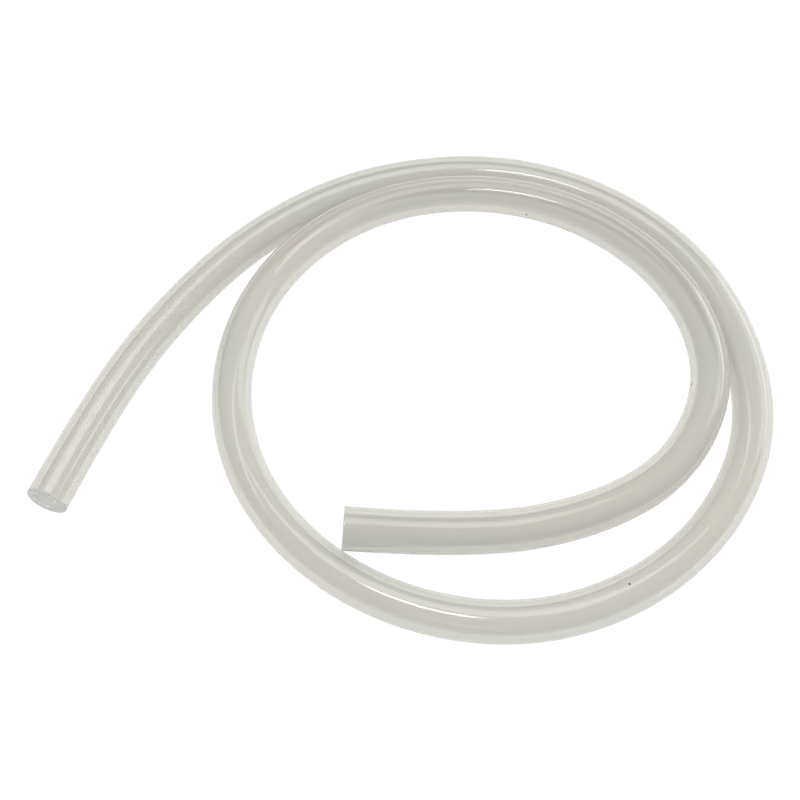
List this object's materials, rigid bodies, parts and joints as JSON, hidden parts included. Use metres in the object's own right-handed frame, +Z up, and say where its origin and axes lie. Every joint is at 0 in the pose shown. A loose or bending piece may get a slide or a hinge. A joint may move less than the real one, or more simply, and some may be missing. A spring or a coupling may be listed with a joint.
{
  "type": "siphon hose",
  "caption": "Length of clear flexible PVC hose for siphoning, open at both ends, lying loosely coiled.",
  "frame": {"origin": "on the surface that the hose lies on, under the middle of its outline", "axes": "+X along the longest extent, from the free inlet end towards the closed side of the loop; +Y from the near side of the loop towards the side where two turns lie together; +Z up"},
  "size_m": [0.2271, 0.1849, 0.0238],
  "materials": {
    "clear_pvc": "gloss"
  },
  "bodies": {
    "root": {"siphon_hose": "clear_pvc"}
  },
  "joints": []
}
